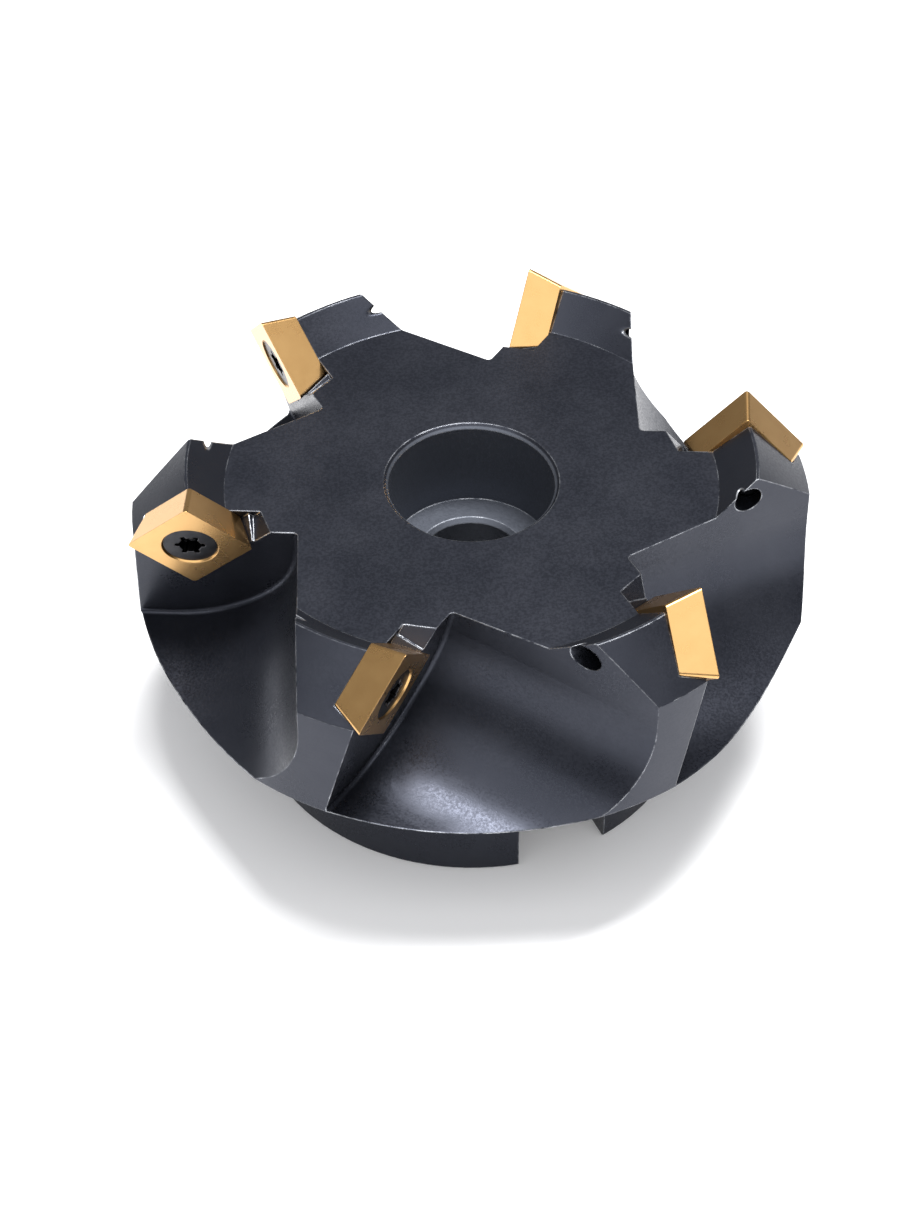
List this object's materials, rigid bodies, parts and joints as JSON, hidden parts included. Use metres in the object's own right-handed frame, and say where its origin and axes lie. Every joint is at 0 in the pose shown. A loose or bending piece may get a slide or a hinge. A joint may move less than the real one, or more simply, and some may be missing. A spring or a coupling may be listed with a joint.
{
  "type": "face mill",
  "caption": "Shell face mill with square coated inserts standing on a corner at 45 degrees, each held by a countersunk screw in a gulleted steel body.",
  "frame": {"origin": "centre of the seating face at the arbor end, on the spindle axis", "axes": "+Z along the spindle axis towards the cutting face, drive slot along Y; the cutter turns counterclockwise seen from +Z"},
  "size_m": [0.073, 0.0732, 0.0398],
  "materials": {
    "body_steel": "black oxide, satin",
    "coated_carbide": "titanium nitride coating, satin gold",
    "screw_steel": "black oxide"
  },
  "bodies": {
    "cutter_body": {"cutter_body": "body_steel"},
    "insert_1": {"insert_1": "coated_carbide"},
    "insert_screw_1": {"insert_screw_1": "screw_steel"},
    "insert_2": {"insert_2": "coated_carbide"},
    "insert_screw_2": {"insert_screw_2": "screw_steel"},
    "insert_3": {"insert_3": "coated_carbide"},
    "insert_screw_3": {"insert_screw_3": "screw_steel"},
    "insert_4": {"insert_4": "coated_carbide"},
    "insert_screw_4": {"insert_screw_4": "screw_steel"},
    "insert_5": {"insert_5": "coated_carbide"},
    "insert_screw_5": {"insert_screw_5": "screw_steel"},
    "insert_6": {"insert_6": "coated_carbide"},
    "insert_screw_6": {"insert_screw_6": "screw_steel"}
  },
  "joints": [
    {"name": "insert_1_lift", "type": "slide", "parent": "cutter_body", "child": "insert_1", "axis": [0.4356, 0.8737, -0.2164], "range_m": [0, 0.0054]},
    {"name": "screw_1_turn", "type": "hinge", "parent": "insert_1", "child": "insert_screw_1", "pos_m": [0.03065, -0.00487, 0.03342], "axis": [0.4356, 0.8737, -0.2164], "range_deg": [0, 3240]},
    {"name": "insert_2_lift", "type": "slide", "parent": "cutter_body", "child": "insert_2", "axis": [-0.5389, 0.8141, -0.2164], "range_m": [0, 0.0054]},
    {"name": "screw_2_turn", "type": "hinge", "parent": "insert_2", "child": "insert_screw_2", "pos_m": [0.01954, 0.02411, 0.03342], "axis": [-0.5389, 0.8141, -0.2164], "range_deg": [0, 3240]},
    {"name": "insert_3_lift", "type": "slide", "parent": "cutter_body", "child": "insert_3", "axis": [-0.9745, -0.0596, -0.2164], "range_m": [0, 0.0054]},
    {"name": "screw_3_turn", "type": "hinge", "parent": "insert_3", "child": "insert_screw_3", "pos_m": [-0.01111, 0.02898, 0.03342], "axis": [-0.9745, -0.0596, -0.2164], "range_deg": [0, 3240]},
    {"name": "insert_4_lift", "type": "slide", "parent": "cutter_body", "child": "insert_4", "axis": [-0.4356, -0.8737, -0.2164], "range_m": [0, 0.0054]},
    {"name": "screw_4_turn", "type": "hinge", "parent": "insert_4", "child": "insert_screw_4", "pos_m": [-0.03065, 0.00487, 0.03342], "axis": [-0.4356, -0.8737, -0.2164], "range_deg": [0, 3240]},
    {"name": "insert_5_lift", "type": "slide", "parent": "cutter_body", "child": "insert_5", "axis": [0.5389, -0.8141, -0.2164], "range_m": [0, 0.0054]},
    {"name": "screw_5_turn", "type": "hinge", "parent": "insert_5", "child": "insert_screw_5", "pos_m": [-0.01954, -0.02411, 0.03342], "axis": [0.5389, -0.8141, -0.2164], "range_deg": [0, 3240]},
    {"name": "insert_6_lift", "type": "slide", "parent": "cutter_body", "child": "insert_6", "axis": [0.9745, 0.0596, -0.2164], "range_m": [0, 0.0054]},
    {"name": "screw_6_turn", "type": "hinge", "parent": "insert_6", "child": "insert_screw_6", "pos_m": [0.01111, -0.02898, 0.03342], "axis": [0.9745, 0.0596, -0.2164], "range_deg": [0, 3240]}
  ],
  "couplings": [
    {"joint": "screw_1_turn", "follows": "insert_1_lift", "rad_per_m": 10472},
    {"joint": "screw_2_turn", "follows": "insert_2_lift", "rad_per_m": 10472},
    {"joint": "screw_3_turn", "follows": "insert_3_lift", "rad_per_m": 10472},
    {"joint": "screw_4_turn", "follows": "insert_4_lift", "rad_per_m": 10472},
    {"joint": "screw_5_turn", "follows": "insert_5_lift", "rad_per_m": 10472},
    {"joint": "screw_6_turn", "follows": "insert_6_lift", "rad_per_m": 10472}
  ]
}
